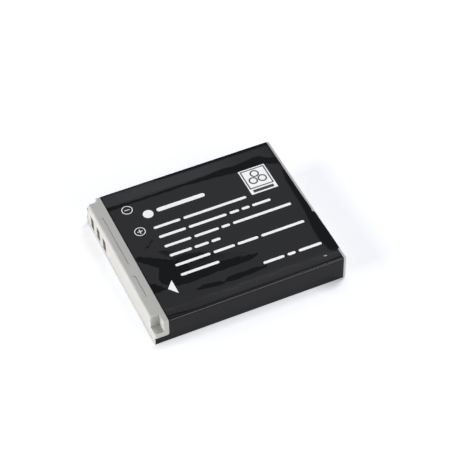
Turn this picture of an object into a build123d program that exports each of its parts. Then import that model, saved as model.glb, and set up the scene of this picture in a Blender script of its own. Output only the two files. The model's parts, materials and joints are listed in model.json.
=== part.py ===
import os
from build123d import *

# Flat lithium pack for a compact camera, in millimetres.
# X runs from the contact end (-) to the rear end (+), Y across the pack, Z up from its back face.

# Whole pack
pack_length = 40.3
pack_width = 35.4
pack_thickness = 5.9
fold_radius = 0.35          # long edges of the pack, where the label film folds over

# Label film, one sheet folded around the pack
film = 0.12
skirt_height = 1.85         # low strip of film that runs on to the contact end
skirt_round = 0.4           # inner corner of the film's cut-out beside the cap
flap_start = 3.5            # where the film's rear edge starts to come out, from the middle towards near
flap_ramp = 0.9             # length over which it comes out
flap_end = 15.0             # where it turns back, from the middle towards the near side
flap_reach = 0.48           # how far it reaches over the rim there
flap_round = 0.3
seam_gap = 0.4              # open gap where the two ends of the sheet meet, on the back face
seam_inset = 4.0            # from the far side to the middle of the seam

# Contact cap
cap_length = 2.9            # visible strip on the top face
cap_round = 0.45            # rounding of the end face into the top face
corner_round = 0.3          # upright corners of the end face
end_wall = 0.7
cap_roof = 0.65             # over the board pocket
cap_floor = 0.55            # under the board pocket, above the film
notch_wall = 0.6            # between a corner notch and the board pocket

# Corner notches that key the pack in its bay
key_length = 1.85
key_width = 2.1
key_depth = 2.75
shoulder_length = 1.95
shoulder_width = 1.05
shoulder_depth = 2.0
shoulder_round = 0.5
notch_round = 0.2           # free upper edges of both notches

# Finger reliefs in the cap's top edge, placed by their start from the near side
relief_edge = 0.4           # from the end face to where the ramp starts
relief_reach = 1.5          # from the end face to the inner step
relief_step = 0.18
relief_long_start = 16.2
relief_long = 13.4
relief_short_start = 7.2
relief_short = 5.8

# Contact slots and plates
slot_width = 1.55
slot_height = 3.0
slot_pitch = 3.2
slot_count = 3
slot_inset = 3.0            # from the far side to the middle of the first slot
slot_level = 2.25           # middle of the slots above the back face
slot_round = 0.2
plate_thickness = 0.25
plate_clearance = 0.1

# Frame
rail = 0.58                 # side rails beside the cell
rear_wall = 0.9
flange = 0.6                # full-size rim at the rear end, flush with the film
rim_round = 0.3             # rounding of the rim into the rear face
tongue_length = 2.4         # dovetail tongues that hold the cap to the rails
tongue_root = 1.8
tongue_tip = 2.6
tongue_thickness = 0.26
tongue_clearance = 0.04

# Cell
cell_clearance = 0.05       # beside the rails
can_radius = 1.0
can_base_round = 0.4
header_space = 1.7          # between the board and the lid's insulator
insulator = 0.2
rear_pad_thickness = 0.2
rivet_shank = 1.4
rivet_head = 2.4
rivet_head_thickness = 0.25
gasket_flange = 3.2
gasket_flange_thickness = 0.25
gasket_sleeve = 2.0
gasket_depth = 0.8
gasket_base = 0.2           # closed end of the gasket, under the rivet's shank
fit = 0.02                  # clearance of pieces pressed into one another
plug_diameter = 1.8
plug_thickness = 0.15
plug_offset = 5.5           # from the rivet towards the near side
card_clearance = 0.3        # around what passes through the insulator card

# Board and its parts
board_thickness = 0.6
board_clearance = 0.1
catch_depth = 0.3
catch_length = 0.35
board_margin = 3.6          # from the board's near end to its first chip
chip_gap = 0.6
ic_length = 2.9
ic_width = 1.6
ic_height = 0.7
mosfet_length = 3.0
mosfet_width = 2.2
mosfet_height = 0.7
lead_width = 0.3
lead_reach = 0.35
lead_thickness = 0.15
ic_lead_count = 3           # along each long side
mosfet_lead_count = 4
chip_length = 1.0
chip_width = 0.5
resistor_height = 0.35
capacitor_height = 0.5
resistor_count = 3
capacitor_count = 2
chip_pitch = 1.1
thermistor_length = 1.6
thermistor_width = 0.8
thermistor_height = 0.5

# Tabs and cut-off
tab_thickness = 0.1
tab_width = 2.4
tab_bend = 0.25
tab_foot = 1.7
positive_foot = 2.2
positive_inset = 1.4        # from the board's near end to the positive tab's riser
cutoff_length = 6.0
cutoff_width = 2.8
cutoff_height = 0.75
cutoff_round = 0.3
cutoff_offset = 3.0         # from the rivet to the cut-off

# Places worked out from the sizes above
front = -pack_length / 2
rear = pack_length / 2
near = -pack_width / 2
far = pack_width / 2
cap_back = front + cap_length
board_front = front + end_wall
board_back = board_front + board_thickness
cell_front = board_back + header_space + insulator
cell_back = rear - rear_wall - rear_pad_thickness
card_front = cell_front - insulator
middle = pack_thickness / 2
cavity_side = pack_width / 2 - film - rail
pocket_near = near + key_width + notch_wall
pocket_far = far - shoulder_width - notch_wall
pocket_low = film + cap_floor
pocket_high = pack_thickness - cap_roof
pocket_level = (pocket_low + pocket_high) / 2
board_near = pocket_near + board_clearance
board_far = pocket_far - board_clearance
board_height = pocket_high - pocket_low - 2 * board_clearance
tab_level = pocket_level


def block(x0, x1, y0, y1, z0, z1):
    return Pos((x0 + x1) / 2, (y0 + y1) / 2, (z0 + z1) / 2) * Box(x1 - x0, y1 - y0, z1 - z0)


def section_bar(x0, x1, inset):
    # The pack's rounded section, shrunk by the inset, drawn out from x0 to x1
    outline = RectangleRounded(pack_width - 2 * inset, pack_thickness - 2 * inset, fold_radius - inset)
    return extrude(Plane.YZ.offset(x0) * Pos(0, middle) * outline, x1 - x0)


def post(x0, x1, y, z, diameter):
    # A round pin along X
    return extrude(Plane.YZ.offset(x0) * Pos(y, z) * Circle(diameter / 2), x1 - x0)


def bent_strip(points, level):
    # A flat strip bent along a path in plan, its width upright
    path = FilletPolyline(*points, radius=tab_bend)
    start = Plane(origin=path @ 0, x_dir=(0, 0, 1), z_dir=path % 0)
    return Pos(0, 0, level) * sweep(start * Rectangle(tab_width, tab_thickness), path)


def dovetail(side, growth):
    # Tongue that widens towards its tip, so that it can't draw out of its pocket along X
    inner = cavity_side - growth
    outer = cavity_side + tongue_thickness + growth
    tip = cap_back + tongue_length + growth
    root = tongue_root / 2 + growth
    wide = tongue_tip / 2 + growth
    outline = make_face(Polyline((cap_back, -root), (tip, -wide), (tip, wide), (cap_back, root), close=True))
    tongue = extrude(Plane.XZ * Pos(0, middle) * outline, -(outer - inner))
    return Pos(0, inner if side > 0 else -outer, 0) * tongue


def relief(start, length):
    # Ramp that sinks from the end face to a step
    outline = make_face(Polyline(
        (front + relief_edge, pack_thickness),
        (front + relief_reach, pack_thickness - relief_step),
        (front + relief_reach, pack_thickness),
        close=True,
    ))
    return Pos(0, near + start, 0) * extrude(Plane.XZ * outline, -length)


def bare_end():
    # The zone beside the contact end that the film leaves bare, with a rounded inner corner
    outline = make_face(Polyline(
        (front, skirt_height), (cap_back, skirt_height), (cap_back, pack_thickness), (front, pack_thickness),
        close=True,
    ))
    corner = outline.vertices().group_by(Axis.Y)[0].sort_by(Axis.X)[-1]
    return extrude(Plane.XZ * fillet(corner, skirt_round), pack_width, both=True)


def notch_lips(cap):
    # Upper edges of the two corner notches
    lips = cap.edges().filter_by_position(Axis.Z, pack_thickness - fit, pack_thickness + fit)
    lips = lips.filter_by_position(Axis.X, front, front + max(key_length, shoulder_length) + fit)
    key = lips.filter_by_position(Axis.Y, near, near + key_width + fit)
    shoulder = lips.filter_by_position(Axis.Y, far - shoulder_width - fit, far)
    return key + shoulder


def slot_places():
    return [far - slot_inset - i * slot_pitch for i in range(slot_count)]


def contact_cap():
    cap = section_bar(front, cap_back, 0)
    side = Plane.XZ * make_face(Polyline(
        (front, 0), (cap_back, 0), (cap_back, pack_thickness), (front, pack_thickness), close=True))
    side = fillet(side.vertices().group_by(Axis.Z)[-1].sort_by(Axis.X)[0], cap_round)
    plan = make_face(Polyline((front, near), (cap_back, near), (cap_back, far), (front, far), close=True))
    plan = fillet(plan.vertices().group_by(Axis.X)[0], corner_round)
    cap = cap & extrude(side, pack_width, both=True) & extrude(plan, pack_thickness)
    # Rebate for the film along the back face and the low sides
    rebate = section_bar(front, cap_back, 0) - section_bar(front, cap_back, film)
    cap -= rebate - bare_end()
    # Corner notches
    key_floor = pack_thickness - key_depth
    cap -= block(front, front + key_length, near, near + key_width, key_floor, pack_thickness)
    step = RectangleRounded(2 * shoulder_length, 2 * shoulder_width, shoulder_round)
    step = Plane.XY.offset(pack_thickness - shoulder_depth) * Pos(front, far) * step
    cap -= extrude(step, shoulder_depth)
    cap -= relief(relief_long_start, relief_long) + relief(relief_short_start, relief_short)
    # Board pocket, open towards the cell, with a catch at each end behind the board
    pocket = block(board_front, cap_back, pocket_near, pocket_far, pocket_low, pocket_high)
    for wall, inward in ((pocket_near, 1), (pocket_far, -1)):
        reach = wall + inward * catch_depth
        pocket -= block(board_back, board_back + catch_length, min(wall, reach), max(wall, reach),
                        pocket_low, pocket_high)
    cap -= pocket
    slot = RectangleRounded(slot_width, slot_height, slot_round)
    for y in slot_places():
        cap -= extrude(Plane.YZ.offset(front) * Pos(y, slot_level) * slot, end_wall)
    cap = fillet(notch_lips(cap), notch_round)
    return cap + dovetail(1, 0) + dovetail(-1, 0)


def rear_frame():
    rim_height = pack_thickness - film
    outline = RectangleRounded(pack_width, rim_height, fold_radius)
    rim = extrude(Plane.YZ.offset(rear - flange) * Pos(0, rim_height / 2) * outline, flange)
    rim = fillet(rim.faces().sort_by(Axis.X)[-1].edges(), rim_round)
    frame = section_bar(cap_back, rear - flange, film) + rim
    frame -= block(cap_back, rear - rear_wall, -cavity_side, cavity_side, 0, pack_thickness)
    return frame - dovetail(1, tongue_clearance) - dovetail(-1, tongue_clearance)


def label_wrap():
    sleeve = section_bar(front, rear - flange, 0) - section_bar(front, rear - flange, film)
    sleeve -= bare_end()
    edge = rear - flange
    flap = make_face(Polyline(
        (edge, -flap_start), (edge, -flap_end), (edge + flap_reach, -flap_end),
        (edge + flap_reach, -flap_start - flap_ramp), close=True,
    ))
    flap = fillet(flap.vertices().sort_by(Axis.Y)[:2].sort_by(Axis.X)[-1], flap_round)
    sleeve += extrude(Plane.XY.offset(pack_thickness - film) * flap, film)
    seam = far - seam_inset
    return sleeve - block(front, rear, seam - seam_gap / 2, seam + seam_gap / 2, 0, film)


def cell_can():
    outline = RectangleRounded(2 * (cavity_side - cell_clearance), pack_thickness - 2 * film, can_radius)
    can = extrude(Plane.YZ.offset(cell_front) * Pos(0, middle) * outline, cell_back - cell_front)
    can = fillet(can.faces().sort_by(Axis.X)[-1].edges(), can_base_round)
    return can - post(cell_front, cell_front + gasket_depth, 0, middle, gasket_sleeve + 2 * fit)


def terminal_gasket():
    seal = post(cell_front - gasket_flange_thickness, cell_front, 0, middle, gasket_flange)
    seal += post(cell_front, cell_front + gasket_depth, 0, middle, gasket_sleeve)
    bore_end = cell_front + gasket_depth - gasket_base
    return seal - post(cell_front - gasket_flange_thickness, bore_end, 0, middle, rivet_shank + 2 * fit)


def negative_terminal():
    seat = cell_front - gasket_flange_thickness
    head = post(seat - rivet_head_thickness, seat, 0, middle, rivet_head)
    return head + post(seat, cell_front + gasket_depth - gasket_base, 0, middle, rivet_shank)


def fill_plug():
    return post(cell_front - plug_thickness, cell_front, -plug_offset, middle, plug_diameter)


def lid_insulator():
    card = block(card_front, cell_front, board_near, board_far,
                 middle - board_height / 2, middle + board_height / 2)
    card -= post(card_front, cell_front, 0, middle, gasket_flange + card_clearance)
    card -= post(card_front, cell_front, -plug_offset, middle, plug_diameter + card_clearance)
    reach = positive_foot + card_clearance
    riser = board_near + positive_inset
    half = tab_width / 2 + card_clearance
    return card - block(card_front, cell_front, riser - card_clearance, riser + reach,
                        tab_level - half, tab_level + half)


def positive_tab():
    riser = board_near + positive_inset
    on_lid = cell_front - tab_thickness / 2
    on_board = board_back + tab_thickness / 2
    return bent_strip([(on_lid, riser + positive_foot), (on_lid, riser), (on_board, riser),
                       (on_board, riser + tab_foot)], tab_level)


def negative_tab():
    seat = cell_front - gasket_flange_thickness - rivet_head_thickness
    return block(seat - tab_thickness, seat, -rivet_head / 2, cutoff_offset,
                 middle - tab_width / 2, middle + tab_width / 2)


def thermal_cutoff():
    outline = RectangleRounded(cutoff_length, cutoff_width, cutoff_round)
    place = Plane.YZ.offset(card_front - cutoff_height) * Pos(cutoff_offset + cutoff_length / 2, middle)
    return extrude(place * outline, cutoff_height)


def cutoff_tab():
    start = cutoff_offset + cutoff_length
    riser = start + tab_foot
    on_cutoff = card_front - cutoff_height / 2
    on_board = board_back + tab_thickness / 2
    return bent_strip([(on_cutoff, start), (on_cutoff, riser), (on_board, riser),
                       (on_board, riser + tab_foot)], tab_level)


def protection_board():
    return block(board_front, board_back, board_near, board_far,
                 pocket_level - board_height / 2, pocket_level + board_height / 2)


def contact_plate(y):
    width = slot_width - 2 * plate_clearance
    height = slot_height - 2 * plate_clearance
    return block(board_front - plate_thickness, board_front, y - width / 2, y + width / 2,
                 slot_level - height / 2, slot_level + height / 2)


def leaded_chip(y, length, width, height, leads):
    # Moulded chip on the board's inner face, with flat leads along both long sides
    chip = block(board_back, board_back + height, y, y + length,
                 pocket_level - width / 2, pocket_level + width / 2)
    pitch = length / leads
    reach = width / 2 + lead_reach
    for i in range(leads):
        place = y + pitch * (i + 0.5)
        chip += block(board_back, board_back + lead_thickness, place - lead_width / 2, place + lead_width / 2,
                      pocket_level - reach, pocket_level + reach)
    return chip


def chip_column(y, count, height):
    # Small end-capped chips, one above another
    low = pocket_level - (count - 1) * chip_pitch / 2
    return Compound([
        block(board_back, board_back + height, y, y + chip_length,
              low + i * chip_pitch - chip_width / 2, low + i * chip_pitch + chip_width / 2)
        for i in range(count)
    ])


def build():
    # Chips follow one another along the board, each a gap after the last
    ic_start = board_near + board_margin
    capacitor_start = ic_start + ic_length + chip_gap
    resistor_start = capacitor_start + chip_length + chip_gap
    mosfet_start = resistor_start + chip_length + chip_gap
    thermistor_start = mosfet_start + mosfet_length + chip_gap
    negative_slot, sense_slot, positive_slot = slot_places()
    return {
        "contact_cap": contact_cap(),
        "rear_frame": rear_frame(),
        "label_wrap": label_wrap(),
        "cell_can": cell_can(),
        "terminal_gasket": terminal_gasket(),
        "negative_terminal": negative_terminal(),
        "fill_plug": fill_plug(),
        "lid_insulator": lid_insulator(),
        "positive_tab": positive_tab(),
        "negative_tab": negative_tab(),
        "thermal_cutoff": thermal_cutoff(),
        "cutoff_tab": cutoff_tab(),
        "protection_board": protection_board(),
        "contact_plate_negative": contact_plate(negative_slot),
        "contact_plate_sense": contact_plate(sense_slot),
        "contact_plate_positive": contact_plate(positive_slot),
        "protection_ic": leaded_chip(ic_start, ic_length, ic_width, ic_height, ic_lead_count),
        "switch_mosfet": leaded_chip(mosfet_start, mosfet_length, mosfet_width, mosfet_height,
                                     mosfet_lead_count),
        "chip_resistors": chip_column(resistor_start, resistor_count, resistor_height),
        "chip_capacitors": chip_column(capacitor_start, capacitor_count, capacitor_height),
        "thermistor": block(board_back, board_back + thermistor_height, thermistor_start,
                            thermistor_start + thermistor_length, pocket_level - thermistor_width / 2,
                            pocket_level + thermistor_width / 2),
        "rear_pad": block(cell_back, rear - rear_wall, board_near, board_far,
                          middle - board_height / 2, middle + board_height / 2),
    }


os.makedirs("parts", exist_ok=True)
for name, shape in build().items():
    export_step(shape, f"parts/{name}.step")
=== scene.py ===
import json
import math

import bpy
import numpy as np
from mathutils import Matrix, Vector


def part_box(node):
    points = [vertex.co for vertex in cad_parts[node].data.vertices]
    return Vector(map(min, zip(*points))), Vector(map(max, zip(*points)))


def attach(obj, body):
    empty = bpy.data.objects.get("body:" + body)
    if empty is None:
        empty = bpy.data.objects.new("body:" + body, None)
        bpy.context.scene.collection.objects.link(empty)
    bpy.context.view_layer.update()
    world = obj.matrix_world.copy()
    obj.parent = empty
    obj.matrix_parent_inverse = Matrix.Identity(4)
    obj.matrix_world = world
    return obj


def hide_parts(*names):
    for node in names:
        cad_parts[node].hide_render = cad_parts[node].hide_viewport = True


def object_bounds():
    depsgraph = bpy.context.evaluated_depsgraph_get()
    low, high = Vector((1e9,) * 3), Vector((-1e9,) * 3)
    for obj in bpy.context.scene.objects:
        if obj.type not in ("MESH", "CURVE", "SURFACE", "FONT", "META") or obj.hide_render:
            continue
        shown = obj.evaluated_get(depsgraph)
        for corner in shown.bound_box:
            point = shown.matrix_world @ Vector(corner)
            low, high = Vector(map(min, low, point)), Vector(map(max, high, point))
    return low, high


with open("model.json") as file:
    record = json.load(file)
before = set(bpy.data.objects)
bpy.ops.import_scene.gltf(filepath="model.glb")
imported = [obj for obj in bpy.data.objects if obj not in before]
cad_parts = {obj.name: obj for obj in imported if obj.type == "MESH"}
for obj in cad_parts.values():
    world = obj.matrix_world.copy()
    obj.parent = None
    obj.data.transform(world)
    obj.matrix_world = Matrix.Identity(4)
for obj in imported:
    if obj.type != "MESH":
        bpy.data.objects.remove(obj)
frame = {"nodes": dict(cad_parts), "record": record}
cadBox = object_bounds()
nodes = frame["nodes"]
mm = 0.001                                   # the pack is measured in millimetres, Blender works in metres
print("frame loaded:", len(nodes), "nodes")


def linearColour(hexValue):                  # sRGB hex to linear RGBA
    rgb = np.array([int(hexValue[i:i + 2], 16) for i in (1, 3, 5)]) / 255.0
    rgb = np.where(rgb <= 0.04045, rgb / 12.92, ((rgb + 0.055) / 1.055) ** 2.4)
    return (*rgb.tolist(), 1.0)


def addNode(tree, kind, settings=None, links=None):  # one node with its settings, then its inputs' sources
    node = tree.nodes.new(kind)
    for key, value in (settings or {}).items():
        if isinstance(key, str) and hasattr(node, key):
            setattr(node, key, value)
        else:
            node.inputs[key].default_value = value
    for key, source in (links or {}).items():
        tree.links.new(source, node.inputs[key])
    return node


def newMaterial(name):                       # an empty node material and its tree
    material = bpy.data.materials.new(name)
    material.use_nodes = True
    material.node_tree.nodes.clear()
    return material, material.node_tree


def smooth(low, high, value):                # smooth step from 0 at low to 1 at high
    t = np.clip((value - low) / (high - low), 0.0, 1.0)
    return t * t * (3.0 - 2.0 * t)


# Finishes: colour with a mottle around it, roughness with its own mottle, and a fine relief.
# mottleSize, grain and depth are in millimetres: the mottle's size, and the relief's size and height.
# octaves is how many layers of ever finer noise each pattern has.
octaves = dict(mottle=3.0, tooth=2.0, dust=4.0, ripple=1.0)
finishes = {
    # ABS moulded in a spark-eroded tool: an even pale grey with a soft sheen and a very fine tooth.
    # The real tooth is about 0.05 mm, drawn at 0.22 mm so that it shows.
    "mouldedAbs": dict(colour="#B5B3AD", mottle="#ADABA5", mottleSize=5.0, roughness=(0.42, 0.56), grain=0.22,
                       depth=0.006, ior=1.52, metallic=0.0),
    # Gold flash over nickel on the contact plates: warm, slightly dull, scratched by the bay's springs, and
    # darkened in colour and mottle as painted shade of the deep slots they sit in.
    "shadedGoldFlash": dict(colour="#A8813F", mottle="#7E5B2C", mottleSize=0.8, roughness=(0.22, 0.36), grain=0.3,
                      depth=0.003, ior=1.5, metallic=1.0),
    # Deep-drawn aluminium: pale, with long soft draw marks.
    "drawnAluminium": dict(colour="#C9CBCD", mottle="#B5B8BB", mottleSize=3.0, roughness=(0.3, 0.45),
                           grain=0.5, depth=0.003, ior=1.5, metallic=1.0),
    # Rolled nickel strip: yellowish grey metal with a satin face.
    "rolledNickel": dict(colour="#B8B2A4", mottle="#A29C8E", mottleSize=1.5, roughness=(0.28, 0.4), grain=0.3,
                         depth=0.002, ior=1.5, metallic=1.0),
    # Vulcanised fibre card, the usual insulator: matt, mossy grey, lightly fibrous.
    "fibreCard": dict(colour="#59665A", mottle="#4C574D", mottleSize=0.8, roughness=(0.75, 0.9), grain=0.25,
                      depth=0.01, ior=1.5, metallic=0.0),
    # Glass-epoxy board under green solder mask: glossy lacquer over a faint weave.
    "solderMask": dict(colour="#1E5A34", mottle="#194C2C", mottleSize=0.5, roughness=(0.25, 0.38), grain=0.4,
                       depth=0.004, ior=1.52, metallic=0.0),
    # Transfer-moulded epoxy of the chips: charcoal, matt.
    "chipEpoxy": dict(colour="#26262A", mottle="#1F1F22", mottleSize=0.6, roughness=(0.55, 0.7), grain=0.15,
                      depth=0.004, ior=1.55, metallic=0.0),
    # Sintered ceramic of the capacitors and the thermistor: tan, dense, slightly waxy.
    "sinteredCeramic": dict(colour="#A98D66", mottle="#957A56", mottleSize=0.4, roughness=(0.4, 0.55),
                            grain=0.1, depth=0.003, ior=1.6, metallic=0.0),
    # Nylon of the rivet's gasket: dark, low sheen.
    "gasketNylon": dict(colour="#1C1C1E", mottle="#161618", mottleSize=0.6, roughness=(0.45, 0.6), grain=0.2,
                        depth=0.003, ior=1.53, metallic=0.0),
    # Screen-printed white ink: nearly white, slightly chalky, with a soft thin edge.
    "screenInk": dict(colour="#FAFAF8", mottle="#F1F1EF", mottleSize=1.2, roughness=(0.35, 0.5), grain=0.3,
                      depth=0.002, ior=1.5, metallic=0.0),
    # Screen-printed black ink: flat and slightly brown beside the film's gloss.
    "blackInk": dict(colour="#232324", mottle="#1B1B1C", mottleSize=0.9, roughness=(0.4, 0.55), grain=0.3,
                     depth=0.002, ior=1.5, metallic=0.0),
    # The film's cut edge, where its clear face lets the light in: dark grey rather than black.
    "cutFilmEdge": dict(colour="#3C3C3E", mottle="#303032", mottleSize=1.0, roughness=(0.4, 0.55), grain=0.2,
                        depth=0.001, ior=1.5, metallic=0.0),
}


def finishMaterial(name, style):
    # One noise drives colour and roughness together, a finer one the relief. Sockets 6 and 7 of a colour mix
    # are its two colours.
    material, tree = newMaterial(name)
    place = addNode(tree, "ShaderNodeTexCoord").outputs["Object"]
    cloud = addNode(tree, "ShaderNodeTexNoise",
                    {"Scale": 1.0 / (style["mottleSize"] * mm), "Detail": octaves["mottle"]},
                    {"Vector": place})
    tint = addNode(tree, "ShaderNodeMix",
                   {"data_type": "RGBA", 6: linearColour(style["colour"]), 7: linearColour(style["mottle"])},
                   {"Factor": cloud.outputs["Fac"]})
    low, high = style["roughness"]
    polish = addNode(tree, "ShaderNodeMapRange", {"To Min": low, "To Max": high},
                     {"Value": cloud.outputs["Fac"]})
    tooth = addNode(tree, "ShaderNodeTexNoise",
                    {"Scale": 1.0 / (style["grain"] * mm), "Detail": octaves["tooth"]}, {"Vector": place})
    relief = addNode(tree, "ShaderNodeBump", {"Strength": 1.0, "Distance": style["depth"] * mm},
                     {"Height": tooth.outputs["Fac"]})
    surface = addNode(tree, "ShaderNodeBsdfPrincipled", {"Metallic": style["metallic"], "IOR": style["ior"]},
                      {"Base Color": tint.outputs[2], "Roughness": polish.outputs["Result"],
                       "Normal": relief.outputs["Normal"]})
    addNode(tree, "ShaderNodeOutputMaterial", None, {"Surface": surface.outputs["BSDF"]})
    return material


# Polyester label film, back-printed black under a clear glossy face: almost black, with mirror-like patches.
# Its attribute holds the lean of the film's creases (x and y) and a painted sheen (z): a lighter colour on
# the bands beside its folds and on pale streaks, standing in for their reflections.
# The ripple is the film's own slight waviness on its adhesive.
petFilm = dict(colour="#0B0B0D", dust="#0E0E10", paintedSheenColour="#242426", dustSize=2.5, roughness=(0.05, 0.085),
               ripple=1.8, depth=0.003, ior=1.5, specular=0.168)


def petFilmMaterial():                       # the surface's normal plus the crease's lean, then the ripple
    material, tree = newMaterial("petFilm")
    place = addNode(tree, "ShaderNodeTexCoord").outputs["Object"]
    crumpleAndSheen = addNode(tree, "ShaderNodeAttribute", {"attribute_name": "crumpleAndSheen"})
    share = addNode(tree, "ShaderNodeSeparateXYZ", None, {"Vector": crumpleAndSheen.outputs["Vector"]})
    dust = addNode(tree, "ShaderNodeTexNoise",
                   {"Scale": 1.0 / (petFilm["dustSize"] * mm), "Detail": octaves["dust"]}, {"Vector": place})
    clean = addNode(tree, "ShaderNodeMix",
                    {"data_type": "RGBA", 6: linearColour(petFilm["colour"]),
                     7: linearColour(petFilm["dust"])}, {"Factor": dust.outputs["Fac"]})
    # painted sheen: the attribute's z mixes in a lighter colour that stands in for reflections
    tint = addNode(tree, "ShaderNodeMix", {"data_type": "RGBA", 7: linearColour(petFilm["paintedSheenColour"])},
                   {"Factor": share.outputs["Z"], 6: clean.outputs[2]})
    low, high = petFilm["roughness"]
    polish = addNode(tree, "ShaderNodeMapRange", {"To Min": low, "To Max": high},
                     {"Value": dust.outputs["Fac"]})
    lean = addNode(tree, "ShaderNodeCombineXYZ", None, {"X": share.outputs["X"], "Y": share.outputs["Y"]})
    upright = addNode(tree, "ShaderNodeNewGeometry")
    leaning = addNode(tree, "ShaderNodeVectorMath", {"operation": "ADD"},
                      {0: upright.outputs["Normal"], 1: lean.outputs["Vector"]})
    facing = addNode(tree, "ShaderNodeVectorMath", {"operation": "NORMALIZE"}, {0: leaning.outputs["Vector"]})
    ripple = addNode(tree, "ShaderNodeTexNoise",
                     {"Scale": 1.0 / (petFilm["ripple"] * mm), "Detail": octaves["ripple"]},
                     {"Vector": place})
    relief = addNode(tree, "ShaderNodeBump", {"Strength": 1.0, "Distance": petFilm["depth"] * mm},
                     {"Height": ripple.outputs["Fac"], "Normal": facing.outputs["Vector"]})
    surface = addNode(tree, "ShaderNodeBsdfPrincipled",
                      {"IOR": petFilm["ior"], "Specular IOR Level": petFilm["specular"]},
                      {"Base Color": tint.outputs[2], "Roughness": polish.outputs["Result"],
                       "Normal": relief.outputs["Normal"]})
    addNode(tree, "ShaderNodeOutputMaterial", None, {"Surface": surface.outputs["BSDF"]})
    return material


materials = {name: finishMaterial(name, style) for name, style in finishes.items()}
materials["petFilm"] = petFilmMaterial()

slotFinish = {
    "grey_plastic": "mouldedAbs", "black_film": "petFilm", "can_aluminium": "drawnAluminium",
    "gasket_plastic": "gasketNylon", "nickel": "rolledNickel", "fish_paper": "fibreCard",
    "board_laminate": "solderMask", "gold_plate": "shadedGoldFlash", "chip_body": "chipEpoxy",
    "chip_ceramic": "sinteredCeramic",
}
for part in frame["record"]["subparts"]:
    skin = nodes[part["node"]].data.materials
    skin.clear()
    skin.append(materials[slotFinish[part["material_slot"]]])
print("finishes:", len(materials))

# The pack's outline, read from the frame, in millimetres
boxLow, boxHigh = (np.array(corner) / mm for corner in cadBox)
front, near, _ = boxLow
rear, far, top = boxHigh
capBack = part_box("rear_frame")[0][0] / mm    # the rails start where the cap's visible strip ends

# Label film: one sheet folded round the pack, its ends meeting at a seam on the back face.
# All in millimetres, but foldFlat in degrees, waveTurns in radians per millimetre and waveStarts in radians.
# dip is how far the film lies below the top plane; it stays under mostDip so that the film clears the cell.
label = dict(
    thickness=0.035, farFold=0.2, nearFold=0.35, foldFlat=(46.0, 74.0), seam=13.7, seamGap=0.4, rim=0.6,
    skirt=1.85, skirtRound=0.4, skirtStep=0.004,
    restDip=0.042, leastDip=0.014, mostDip=0.08, sideDip=0.012,
    wave=0.005, waveTurns=(0.42, 0.36), waveStarts=(0.9, -0.4),
    flapStart=-3.7, flapRamp=0.6, flapEnd=-15.0, flapReach=0.26, flapNick=0.16, nickWidth=0.2,
    flapSlack=0.1, slackStart=3.0, slackPause=1.0, slackStop=2.0, turnBack=(0.35, -0.1),
    nearBand=2.9, nearDrop=0.024, nearBend=1.6, creaseInset=4.1, farRise=0.012,
    curlStart=8.5, curlFull=-11.0, curlLead=0.3, curlWidth=1.6, curlDrop=0.016, curlFade=0.4,
    columns=170, topRows=190, foldRows=7, sideRows=(6, 8, 9), backRows=(6, 24),
)

# Creases: patches of the film that lean, so that they mirror the dim room and not the white card. Only the
# glint leans towards +x, where it mirrors the small spark lamp.
# Each has its outline in millimetres from the label's middle, its lean along x and y, and how soft it ends.
creases = dict(
    farFold=([(-17.6, 13.95), (-12, 13.75), (0, 13.7), (6, 14.05), (8.3, 14.35), (10, 13.9), (12, 14.2),
              (16.4, 14.5), (17.2, 13.6), (19.8, 12.3), (19.8, 10.9), (18.4, 11.3), (17, 12.1), (10.4, 12.3),
              (7.5, 12.75), (0, 13.35), (-12, 13.4), (-17.6, 13.25)], (0.0, 0.06), 0.3),
    rearCurl=([(19.0, 8.8), (18.5, 6), (18.3, 0), (18.1, -3.5), (17.4, -7.8), (17.2, -11), (17.9, -14.6),
               (18.9, -15.3), (20.6, -15.1), (20.6, 8.8)], (-0.01, 0.055), 0.25),
    valley=([(-16.9, -0.6), (-16.0, -0.7), (-13.4, -2.3), (-12.0, -3.2), (-10.2, -4.8), (-8.6, -5.6),
             (-8.8, -7.8), (-3.2, -8.4), (1.4, -9.0), (5.0, -9.3), (4.9, -9.9), (3.0, -10.4), (-6.0, -10.5),
             (-10.3, -10.8), (-13.2, -10.2), (-14.8, -8.8), (-14.9, -7.4), (-13.7, -4.9), (-14.6, -3.9),
             (-16.8, -1.5)], (0.0, 0.09), 0.35),
    corner=([(-17.6, -8.0), (-16.3, -8.2), (-14.3, -10.4), (-16.6, -10.5), (-17.6, -9.6)],
            (-0.05, 0.04), 0.3),
    halo=([(-13.0, -0.6), (-10.9, -0.8), (-7.8, -2.6), (-11.6, -2.8)], (0.0, 0.031), 0.6),
    fade=([(-11.5, -3.0), (-8.0, -3.2), (-5.0, -3.9), (-1.5, -5.8), (2.4, -7.2), (4.6, -8.9), (0.0, -9.2),
           (-9.0, -8.0)], (0.0, 0.036), 0.8),
    scratch=([(-14.4, 0.8), (-12.2, 2.5), (-11.9, 2.3), (-13.9, 0.7)], (0.0, 0.042), 0.3),
    nearLeft=([(-9.9, -12.8), (-7.8, -12.4), (-5.6, -12.6), (-4.0, -13.1), (-4.2, -13.8), (-6.4, -13.7),
               (-8.6, -13.3)], (0.0, 0.10), 0.35),
    nearRight=([(-4.0, -13.4), (-2.6, -12.4), (2.6, -12.5), (5.5, -12.9), (5.0, -13.5), (-2.4, -13.8)],
               (0.0, 0.10), 0.35),
    glint=([(15.9, -15.63), (16.8, -15.63), (17.6, -15.28), (16.7, -15.23)], (0.06, 0.012), 0.12),
)
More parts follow.
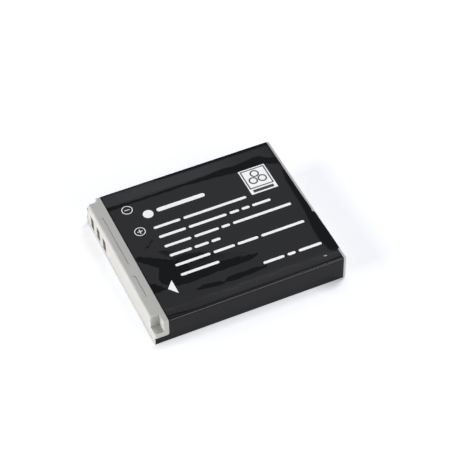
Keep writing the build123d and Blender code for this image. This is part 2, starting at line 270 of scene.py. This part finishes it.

# Painted sheen: pale streaks on the near fold's shoulder, standing in for the reflections of small ridges,
# from start to end, with half width and strength
paintedStreaks = [
    ((-17.3, -12.6), (-16.9, -14.7), 0.15, 0.6), ((-16.7, -15.0), (-15.3, -15.4), 0.16, 0.9),
    ((-15.3, -15.2), (-11.8, -15.4), 0.14, 0.45), ((-11.0, -15.4), (-8.2, -15.3), 0.14, 0.35),
    ((-7.9, -15.1), (-6.2, -15.4), 0.11, 1.1), ((-4.9, -15.4), (-1.9, -15.7), 0.11, 1.2),
    ((-1.4, -15.1), (5.1, -15.4), 0.11, 0.8), ((4.5, -15.6), (8.0, -15.3), 0.11, 1.0),
    ((7.4, -15.0), (11.1, -15.5), 0.12, 1.0), ((13.6, -15.4), (18.6, -15.6), 0.2, 0.35),
]

# How ragged the creases' edges are, the dark line beside the far fold, the bead beside the near fold, and the
# painted sheen of the bands beside both folds: places and widths in millimetres, leans as slopes, sheen as a
# share
leansAndSheen = dict(
    ragged=dict(depth=0.14, across=8.0, sway=2.0, swayRate=0.8, along=(1.1, 0.7)),
    farLine=dict(lean=0.09, inset=(1.1, 0.4), reach=(-8.0, 4.0)),
    bead=dict(lean=0.12, inset=0.48, swerve=0.5, swerveReach=(-11.0, -16.5), width=0.18),
    farPaintedSheen=dict(start=(13.9, 14.6), stop=(16.6, 17.2), level=0.85,
                 gain=0.15, gainReach=(-16.0, -11.0), loss=0.9, lossReach=(2.0, 14.0)),
    nearPaintedSheen=dict(start=(-14.3, -15.3), stop=(-16.4, -16.8), level=0.1, gain=0.45, gainReach=(-12.0, -3.0)),
)


def lineGap(x, y, start, end):               # distance to the nearest point of a straight stretch
    (ax, ay), (bx, by) = start, end
    dx, dy = bx - ax, by - ay
    share = np.clip(((x - ax) * dx + (y - ay) * dy) / (dx ** 2 + dy ** 2), 0.0, 1.0)
    return np.hypot(x - ax - share * dx, y - ay - share * dy)


def bell(distance, width):                   # 1 in the middle, falling off as a bell curve of this width
    return np.exp(-0.5 * (distance / width) ** 2)


def insideBy(x, y, outline):                 # distance to the outline's nearest side, positive inside it
    corners = np.array(outline, dtype=float)
    distance = np.full(x.shape, np.inf)
    inside = np.zeros(x.shape, dtype=bool)
    for (ax, ay), (bx, by) in zip(corners, np.roll(corners, -1, axis=0)):
        distance = np.minimum(distance, lineGap(x, y, (ax, ay), (bx, by)))
        crosses = (ay > y) != (by > y)
        inside ^= crosses & (x < ax + (bx - ax) * (y - ay) / ((by - ay) or 1.0))
    return np.where(inside, distance, -distance)


def crumpleAndSheen(x, y):
    # Lean along x, lean along y and painted sheen: the creases' leans inside their outlines, a dark line
    # beside each long fold, and a painted sheen on the bands beside the folds and along the pale streaks
    leanX, leanY, paintedSheen = 0.0 * x, 0.0 * x, 0.0 * x
    ragged, farLine, bead = leansAndSheen["ragged"], leansAndSheen["farLine"], leansAndSheen["bead"]
    alongX, alongY = ragged["along"]
    streak = ragged["depth"] * np.sin(ragged["across"] * y + ragged["sway"] * np.sin(ragged["swayRate"] * x))
    streak *= np.sin(alongX * x + alongY * y)
    for outline, (sideways, onwards), soft in creases.values():
        inside = smooth(-soft, soft, insideBy(x, y, outline) + streak)
        leanX += sideways * inside
        leanY += onwards * inside
    outer, inner = farLine["inset"]
    leanY += farLine["lean"] * smooth(far - outer, far - inner, y) * smooth(*farLine["reach"], x)
    beadLine = near + bead["inset"] + bead["swerve"] * smooth(*bead["swerveReach"], x)
    leanY += bead["lean"] * bell(y - beadLine, bead["width"])
    for band in (leansAndSheen["farPaintedSheen"], leansAndSheen["nearPaintedSheen"]):
        level = band["level"] + band["gain"] * smooth(*band["gainReach"], x)
        if "loss" in band:
            level = level - band["loss"] * smooth(*band["lossReach"], x)
        paintedSheen += level * smooth(*band["start"], y) * (1.0 - smooth(*band["stop"], y))
    for start, end, width, strength in paintedStreaks:
        paintedSheen += strength * bell(lineGap(x, y, start, end), width)
    return np.stack([leanX, leanY, paintedSheen], axis=-1)


def rearEdge(y):
    # The film's rear edge on the top face: it drifts out slowly, has a nick, steps out into a flap over the
    # rim, drifts on, and turns back at the flap's end
    start, end = label["flapStart"], label["flapEnd"]
    early = smooth(label["slackStart"], start, y)
    late = smooth(start - label["slackPause"], end + label["slackStop"], y)
    drift = label["flapSlack"] * (early + late)
    step = label["flapReach"] * smooth(start, start - label["flapRamp"], y)
    nick = label["flapNick"] * bell(y - start, label["nickWidth"])
    before, after = label["turnBack"]
    return rear - label["rim"] + (drift + step - nick) * (1.0 - smooth(end + before, end + after, y))


def filmDip(x, y):                           # sum of waves, near fold, far crease and rear curl
    (turnX, turnY), (startX, startY) = label["waveTurns"], label["waveStarts"]
    dip = label["restDip"] + label["wave"] * np.sin(turnX * x + startX) * np.sin(turnY * y + startY)
    band = np.clip((near + label["nearBand"] - y) / label["nearBand"], 0.0, 1.0)
    dip += label["nearDrop"] * band ** label["nearBend"]
    dip -= label["farRise"] * np.clip((y - far) / label["creaseInset"] + 1.0, 0.0, 1.0)
    curlReach = label["curlWidth"] * smooth(label["curlStart"], label["curlFull"], y) + label["curlLead"]
    curl = np.clip((x - rearEdge(y) + curlReach) / label["curlWidth"], 0.0, 1.0)
    end, fade = label["flapEnd"], label["curlFade"]
    dip += label["curlDrop"] * curl * smooth(end - fade, end + fade, y)
    return np.clip(dip, label["leastDip"], label["mostDip"])


def filmSection():
    # The film's path round the pack in the YZ plane, from the seam by the far side, top and near side to the
    # seam again: straight runs joined by quarter circles. The near fold is pressed flat between two angles,
    # where its radius is that of the chord. Returns place and outward normal along the path.
    f, n = label["farFold"], label["nearFold"]
    quarter = np.linspace(0.0, math.pi / 2, label["foldRows"])[1:-1]
    flatStart, flatEnd = np.radians(label["foldFlat"])
    middle, half = (flatStart + flatEnd) / 2, (flatEnd - flatStart) / 2
    chord = middle + half * np.array([-1, -0.8, 0.8, 1])
    turn = np.concatenate([[flatStart / 2], chord, [(flatEnd + math.pi / 2) / 2]])
    fold = np.where(np.abs(turn - middle) < half, n * math.cos(half) / np.cos(turn - middle), n)
    skirt, roundEnd = label["skirt"], label["skirt"] + label["skirtRound"]
    step = label["skirtStep"]
    below, beside, above = label["sideRows"]
    farZ, nearZ = (np.concatenate([np.linspace(r, skirt - step, below),
                                   np.linspace(skirt + step, roundEnd, beside),
                                   np.linspace(roundEnd, top - r, above)[1:]]) for r in (f, n))
    startRows, endRows = label["backRows"]
    topY = np.linspace(far - f, near + n, label["topRows"])
    startY = np.linspace(label["seam"] + label["seamGap"] / 2, far - f, startRows)
    endY = np.linspace(near + n, label["seam"] - label["seamGap"] / 2, endRows)
    runs = [
        (startY, startY * 0, startY * 0, startY * 0 - 1),
        (far - f + f * np.sin(quarter), f - f * np.cos(quarter), np.sin(quarter), -np.cos(quarter)),
        (farZ * 0 + far, farZ, farZ * 0 + 1, farZ * 0),
        (far - f + f * np.cos(quarter), top - f + f * np.sin(quarter), np.cos(quarter), np.sin(quarter)),
        (topY, topY * 0 + top, topY * 0, topY * 0 + 1),
        (near + n - fold * np.sin(turn), top - n + fold * np.cos(turn), -np.sin(turn), np.cos(turn)),
        (nearZ * 0 + near, nearZ[::-1], nearZ * 0 - 1, nearZ * 0),
        (near + n - n * np.cos(quarter), n - n * np.sin(quarter), -np.cos(quarter), -np.sin(quarter)),
        (endY, endY * 0, endY * 0, endY * 0 - 1),
    ]
    return [np.concatenate(column) for column in zip(*runs)]


def gridFaces(rows, columns, closed=False):  # quads between neighbours; closed joins last row to first
    i, j = np.meshgrid(np.arange(rows if closed else rows - 1), np.arange(columns - 1), indexing="ij")
    a = (i * columns + j).ravel()
    b = ((i + 1) % rows * columns + j).ravel()
    return np.stack([a, b, b + 1, a + 1], axis=1)


def meshPiece(name, points, faces, *skins):  # points in millimetres; faces as rows of vertex numbers
    mesh = bpy.data.meshes.new(name)
    mesh.from_pydata((points * mm).tolist(), [], [list(face) for face in faces])
    mesh.update()
    piece = bpy.data.objects.new(name, mesh)
    bpy.context.scene.collection.objects.link(piece)
    for skin in skins:
        mesh.materials.append(materials[skin])
    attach(piece, "root")
    return piece


def labelFilm():
    # Surface over (place round the section, share of the way from the film's front edge to its rear edge)
    sectionY, sectionZ, normalY, normalZ = (column[:, None] for column in filmSection())
    r, skirt = label["skirtRound"], label["skirt"]
    rise = np.clip(skirt + r - sectionZ, 0.0, r)
    frontEdge = np.where(sectionZ < skirt, front, capBack - r + np.sqrt(r * r - rise * rise))
    onTop = np.clip(normalZ, 0.0, 1.0)
    backEdge = np.where(onTop > 0.5, rearEdge(sectionY), rear - label["rim"])
    share = np.linspace(0.0, 1.0, label["columns"])[None, :]
    x = frontEdge + share * (backEdge - frontEdge)
    y, z = sectionY + 0 * x, sectionZ + 0 * x
    inset = onTop * filmDip(x, y) + np.abs(normalY) * label["sideDip"]
    points = np.stack([x, y - normalY * inset, z - normalZ * inset], axis=-1)
    rows, columns = x.shape
    film = meshPiece("labelFilm", points.reshape(-1, 3), gridFaces(rows, columns), "petFilm", "cutFilmEdge")
    film.data.polygons.foreach_set("use_smooth", np.ones(len(film.data.polygons), dtype=bool))
    lean = film.data.attributes.new("crumpleAndSheen", "FLOAT_VECTOR", "POINT")
    lean.data.foreach_set("vector", (crumpleAndSheen(x, y) * onTop[..., None]).astype(np.float32).ravel())
    wall = film.modifiers.new("filmThickness", "SOLIDIFY")
    wall.thickness = label["thickness"] * mm
    wall.offset = -1.0
    wall.material_offset_rim = 1
    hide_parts("label_wrap")
    return film


film = labelFilm()
print("label film:", len(film.data.vertices), "points")

# Printed marks, placed on the top face in millimetres from its middle. barTip is the angle in radians at
# which a bar's round end starts, because at 0 the tip would have no height.
marks = dict(
    lift=0.007, panelRise=0.004, thickness=0.006, grid=0.3, roundSteps=40, barTip=0.12, barSteps=6,
    polarity=dict(minus=(-13.60, 11.94), plus=(-13.47, 5.52), radius=1.13, stroke=0.155, bar=1.1),
    arrow=[(-14.29, -10.44), (-12.80, -12.27), (-12.82, -8.69)],
    bullet=dict(centre=(-10.2, 9.2), radius=1.08),
    panel=dict(low=(10.60, 5.15), high=(16.38, 12.13), line=0.26, margin=0.26, foot=1.5,
               rings=3, ringPlace=1.15, ringInner=0.66, ringOuter=0.96,
               barInset=0.65, barLow=0.38, barHigh=1.12),
    barHeight=0.64, headHeight=1.0, left=-10.65,
)

# Rows of plain bars: height, level, and where each bar starts and ends
barRows = [
    ("headHeight", 9.42, [(-8.3, 2.1)]),
    ("barHeight", 5.21, [("left", -5.0), (-4.3, 9.3)]),
    ("barHeight", 2.54, [("left", -4.95), (-4.3, 3.8), (4.5, 6.5), (7.1, 8.8), (9.4, 13.4)]),
    ("barHeight", -0.20, [("left", -5.0), (-4.3, 0.9), (1.5, 3.3), (4.0, 16.6)]),
    ("barHeight", -2.80, [("left", -6.0), (-5.4, -2.4), (-1.8, 0.1)]),
    ("barHeight", -5.60, [("left", -3.3), (-2.6, 1.9), (2.5, 6.9), (7.6, 16.9)]),
    ("barHeight", -8.25, [("left", -2.6)]),
    ("barHeight", -12.24, [(4.95, 9.4), (10.1, 11.8), (12.5, 17.4)]),
]


def onFilm(xy):                              # lays flat points on the film's top face, just proud of it
    z = top - filmDip(xy[:, 0], xy[:, 1]) + marks["lift"]
    return np.column_stack([xy, z])


def circle(centre, radius):                  # points round a circle
    angle = np.linspace(0.0, 2 * math.pi, marks["roundSteps"], endpoint=False)
    return np.column_stack([centre[0] + radius * np.cos(angle), centre[1] + radius * np.sin(angle)])


def ring(centre, inner, outer):              # two circles joined all the way round
    xy = np.stack([circle(centre, outer), circle(centre, inner)], axis=1)
    return xy.reshape(-1, 2), gridFaces(marks["roundSteps"], 2, closed=True)


def disc(centre, radius):                    # a fan from the middle to a circle
    i = np.arange(marks["roundSteps"])
    fan = np.stack([0 * i, 1 + i, 1 + (i + 1) % len(i)], axis=1)
    return np.vstack([centre, circle(centre, radius)]), fan


def plate(low, high):                        # a rectangle cut into a grid so that it follows the film
    nx, ny = (max(2, int(math.ceil((b - a) / marks["grid"])) + 1) for a, b in zip(low, high))
    x, y = np.meshgrid(np.linspace(low[0], high[0], nx), np.linspace(low[1], high[1], ny), indexing="ij")
    return np.stack([x, y], axis=-1).reshape(-1, 2), gridFaces(nx, ny)


def bar(start, end, level, height):          # a strip whose ends follow quarter circles
    r = height / 2
    turn = np.linspace(marks["barTip"], math.pi / 2, marks["barSteps"])
    straight = np.arange(start + r, end - r, marks["grid"])[1:]
    x = np.concatenate([start + r * (1 - np.cos(turn)), straight, (end - r * (1 - np.cos(turn)))[::-1]])
    half = np.concatenate([r * np.sin(turn), straight * 0 + r, (r * np.sin(turn))[::-1]])
    across = np.array([[-1.0, 0.0, 1.0]])
    xy = np.stack([x[:, None] + 0 * across, level + half[:, None] * across], axis=-1)
    return xy.reshape(-1, 2), gridFaces(len(x), across.size)


def barRow(height, level, spans):            # one row's bars; a span may start at the common left edge
    return [bar(marks.get(start, start), end, level, marks[height]) for start, end in spans]


def joinShapes(shapes):                      # stacks (points, faces) pairs into one
    starts = np.cumsum([0] + [len(points) for points, _ in shapes])
    points = np.concatenate([points for points, _ in shapes])
    faces = [face + start for (_, group), start in zip(shapes, starts) for face in np.asarray(group)]
    return points, faces


def arrowHead():                             # a plain triangle
    return np.array(marks["arrow"]), np.array([[0, 1, 2]])


def whiteMarks():                            # two ringed signs, arrow, disc, panel and the rows of bars
    sign = marks["polarity"]
    shapes = []
    for name in ("minus", "plus"):
        centre = np.array(sign[name])
        shapes.append(ring(centre, sign["radius"] - sign["stroke"], sign["radius"]))
        half = np.array([sign["bar"], sign["stroke"]]) / 2
        shapes.append(plate(centre - half, centre + half))
    upright = np.array([sign["stroke"], sign["bar"]]) / 2
    lower = np.array([sign["stroke"] / 2, sign["stroke"] / 2])
    for sideWay in (1, -1):                  # the plus sign's upright, in two halves beside its bar
        middle = np.array(sign["plus"]) + [0, sideWay * (upright[1] + lower[1]) / 2]
        reach = np.array([upright[0], (upright[1] - lower[1]) / 2])
        shapes.append(plate(middle - reach, middle + reach))
    shapes.append(arrowHead())
    shapes.append(disc(**marks["bullet"]))
    shapes.append(plate(marks["panel"]["low"], marks["panel"]["high"]))
    for row in barRows:
        shapes.extend(barRow(*row))
    return joinShapes(shapes)


def panelLines():
    # Dark lines on the white panel: a frame above its foot, three rings in a triangle, and a bar on the foot
    panel = marks["panel"]
    low, high = np.array(panel["low"]), np.array(panel["high"])
    inner = low + [panel["margin"], panel["foot"]]
    outer = high - panel["margin"]
    line = panel["line"]
    shapes = [
        plate(inner, (outer[0], inner[1] + line)), plate((inner[0], outer[1] - line), outer),
        plate((inner[0], inner[1] + line), (inner[0] + line, outer[1] - line)),
        plate((outer[0] - line, inner[1] + line), (outer[0], outer[1] - line)),
    ]
    middle = (inner + outer) / 2
    for turn in math.pi / 2 + 2 * math.pi * np.arange(panel["rings"]) / panel["rings"]:
        spot = middle + panel["ringPlace"] * np.array([math.cos(turn), math.sin(turn)])
        shapes.append(ring(spot, panel["ringInner"], panel["ringOuter"]))
    inset = panel["barInset"]
    shapes.append(plate(low + [inset, panel["barLow"]], (high[0] - inset, low[1] + panel["barHigh"])))
    return joinShapes(shapes)


def printedPiece(name, shapes, skin, rise):  # flat shapes laid on the film and given the ink's thickness
    points, faces = shapes
    points = onFilm(points) + [0, 0, rise]
    piece = meshPiece(name, points, faces, skin)
    coat = piece.modifiers.new("inkThickness", "SOLIDIFY")
    coat.thickness = marks["thickness"] * mm
    coat.offset = -1.0
    return piece


printedPiece("labelMarks", whiteMarks(), "screenInk", 0.0)
printedPiece("panelLines", panelLines(), "blackInk", marks["panelRise"])
print("printed marks:", len(barRows), "rows")

# Camera, solved from the pack's corners: degrees and millimetres, with the clip distances in metres
shot = dict(azimuth=-23.23, elevation=47.27, roll=-1.45, distance=350.5, slideX=-2.07, slideY=-2.73,
            lens=142.1, sensor=36.0, clip=(0.01, 10.0))


def photoCamera():                           # axes from the three angles, place from distance and slides
    a, e, t = (math.radians(shot[key]) for key in ("azimuth", "elevation", "roll"))
    back = Vector((math.sin(a) * math.cos(e), -math.cos(a) * math.cos(e), math.sin(e)))
    right = Vector((math.cos(a), math.sin(a), 0.0))
    up = back.cross(right)
    right, up = right * math.cos(t) + up * math.sin(t), up * math.cos(t) - right * math.sin(t)
    middle = Vector((0.0, 0.0, top / 2))
    place = middle - right * shot["slideX"] - up * shot["slideY"] + back * shot["distance"]
    camera = bpy.data.cameras.new("photoCamera")
    camera.sensor_width = shot["sensor"]
    camera.lens = shot["lens"]
    camera.clip_start, camera.clip_end = shot["clip"]
    holder = bpy.data.objects.new("photoCamera", camera)
    holder.matrix_world = Matrix.Translation(place * mm) @ Matrix((right, up, back)).transposed().to_4x4()
    bpy.context.scene.collection.objects.link(holder)
    bpy.context.scene.camera = holder
    return np.array(place)


cameraPlace = photoCamera()

# Studio, in metres and watts: pale floor, dim cool room, a low key at the left, a fill in front, a strip for
# the near fold's highlight and a window behind at the right. The flat film mirrors a white card overhead,
# and the glint a small spark lamp: their left, right, far, x and y say where they show on the label, in
# millimetres.
# The floor's glow paints light and shade: strongest close to a box round the pack's contact end and near
# side, where it paints over the shadows, and weakest in a second box beside its rear end, where it paints a
# shadow band.
studio = dict(
    floorSize=5.0, floorDrop=0.00003, floorColour="#F2F2F3", glowColour="#FFFFFF",
    glow=(0.45, 0.23), glowReach=(0.001, 0.0027),
    glowPlace=(-0.002, -0.00135, 0.0), glowHalves=(0.01935, 0.01635, 1.0),
    shade=0.08, shadeFade=0.006, shadePlace=(0.0233, -0.0023, 0.0), shadeHalves=(0.0048, 0.0135, 1.0),
    room="#EDF3FF", roomStrength=0.40,
    key=dict(place=(-0.46, 0.03, 0.03), size=(0.42, 0.045), power=2.65),
    fill=dict(place=(0.33, -0.37, 0.03), size=(0.27, 0.045), power=1.1),
    strip=dict(place=(0.135, -0.45, 0.19), size=(0.13, 0.12), power=0.42),
    window=dict(place=(0.27, 0.13, 0.52), size=(0.16, 0.16), power=1.67),
    card=dict(height=1.5, left=-21.5, right=21.5, far=21.0, nearEnd=-0.25, radiance=1.13),
    spark=dict(x=47.6, y=-1.7, size=(0.1, 0.1), power=0.66),
)


def boxGap(tree, place, middle, halves):     # length of the part of |place - middle| that exceeds the halves
    nothing = (0.0, 0.0, 0.0)
    steps = [("SUBTRACT", middle), ("ABSOLUTE", nothing), ("SUBTRACT", halves), ("MAXIMUM", nothing)]
    for operation, value in steps:
        step = addNode(tree, "ShaderNodeVectorMath", {"operation": operation, 1: value}, {0: place})
        place = step.outputs["Vector"]
    return addNode(tree, "ShaderNodeVectorMath", {"operation": "LENGTH"}, {0: place}).outputs["Value"]


def floorPiece():                            # one square just under the pack
    half, z = studio["floorSize"] / 2, -studio["floorDrop"]
    mesh = bpy.data.meshes.new("floor")
    corners = [(-half, -half, z), (half, -half, z), (half, half, z), (-half, half, z)]
    mesh.from_pydata(corners, [], [(0, 1, 2, 3)])
    floor = bpy.data.objects.new("floor", mesh)
    bpy.context.scene.collection.objects.link(floor)
    # Smooth white paper: even and matt, with a glow to the eye and in reflections that is uneven round the
    # pack, as painted light near its contact end and near side and as a painted shadow band beside its rear
    # end
    material, tree = newMaterial("paleSweep")
    path = addNode(tree, "ShaderNodeLightPath")
    seen = path.outputs["Is Camera Ray"]
    for ray in ("Is Glossy Ray", "Is Transmission Ray"):
        seen = addNode(tree, "ShaderNodeMath", {"operation": "MAXIMUM"},
                       {0: seen, 1: path.outputs[ray]}).outputs[0]
    place = addNode(tree, "ShaderNodeTexCoord").outputs["Object"]
    (nearest, farthest), (close, apart) = studio["glowReach"], studio["glow"]
    halo = addNode(tree, "ShaderNodeMapRange",
                   {"From Min": nearest, "From Max": farthest, "To Min": close, "To Max": apart},
                   {"Value": boxGap(tree, place, studio["glowPlace"], studio["glowHalves"])})
    # painted shadow: the glow drops to the shade level inside the box beside the rear end
    level = addNode(tree, "ShaderNodeMapRange", {"From Max": studio["shadeFade"], "To Min": studio["shade"]},
                    {"Value": boxGap(tree, place, studio["shadePlace"], studio["shadeHalves"]),
                     "To Max": halo.outputs["Result"]})
    share = addNode(tree, "ShaderNodeMath", {"operation": "MULTIPLY"}, {0: seen, 1: level.outputs["Result"]})
    paper = addNode(tree, "ShaderNodeBsdfDiffuse", {"Color": linearColour(studio["floorColour"])})
    glow = addNode(tree, "ShaderNodeEmission", {"Color": linearColour(studio["glowColour"])},
                   {"Strength": share.outputs[0]})
    both = addNode(tree, "ShaderNodeAddShader", None, {0: paper.outputs[0], 1: glow.outputs[0]})
    clear = addNode(tree, "ShaderNodeBsdfTransparent")  # from below, so that the pack's back face shows
    side = addNode(tree, "ShaderNodeNewGeometry")
    sheet = addNode(tree, "ShaderNodeMixShader", None,
                    {"Fac": side.outputs["Backfacing"], 1: both.outputs[0], 2: clear.outputs[0]})
    addNode(tree, "ShaderNodeOutputMaterial", None, {"Surface": sheet.outputs[0]})
    mesh.materials.append(material)


def roomWorld():                             # even light from all around
    world = bpy.data.worlds.new("room")
    bpy.context.scene.world = world
    world.use_nodes = True
    tree = world.node_tree
    tree.nodes.clear()
    air = addNode(tree, "ShaderNodeBackground",
                  {"Color": linearColour(studio["room"]), "Strength": studio["roomStrength"]})
    addNode(tree, "ShaderNodeOutputWorld", None, {"Surface": air.outputs[0]})


def softLamp(name, place, size, power, aim=(0.0, 0.0, 0.0)):  # a rectangle of light, aimed at the pack
    lamp = bpy.data.lights.new(name, "AREA")
    lamp.shape = "RECTANGLE"
    lamp.size, lamp.size_y = size
    lamp.energy = power
    holder = bpy.data.objects.new(name, lamp)
    holder.location = place
    holder.rotation_euler = (Vector(aim) - Vector(place)).to_track_quat("-Z", "Y").to_euler()
    bpy.context.scene.collection.objects.link(holder)


def overhead(x, y):
    # A flat mirror at the label's height shows the camera a level card scaled about the camera's own place
    eye = cameraPlace * mm
    scale = 1.0 + (studio["card"]["height"] - top * mm) / (eye[2] - top * mm)
    return eye[0] + scale * (x * mm - eye[0]), eye[1] + scale * (y * mm - eye[1])


def cardLamp():                              # level, bright enough to show its radiance at any size
    card = studio["card"]
    left, farEnd = overhead(card["left"], card["far"])
    right, _ = overhead(card["right"], card["far"])
    size = (right - left, farEnd - card["nearEnd"])
    place = ((left + right) / 2, (farEnd + card["nearEnd"]) / 2, card["height"])
    power = math.pi * size[0] * size[1] * card["radiance"]
    softLamp("card", place, size, power, aim=(place[0], place[1], 0.0))


def sparkLamp():                             # level, at the card's height
    spark = studio["spark"]
    place = (*overhead(spark["x"], spark["y"]), studio["card"]["height"])
    softLamp("spark", place, spark["size"], spark["power"], aim=(place[0], place[1], 0.0))


floorPiece()
roomWorld()
for name in ("key", "fill", "strip", "window"):
    softLamp(name, **studio[name])
cardLamp()
sparkLamp()
print("studio set")

bpy.context.scene.view_settings.view_transform = "Standard"
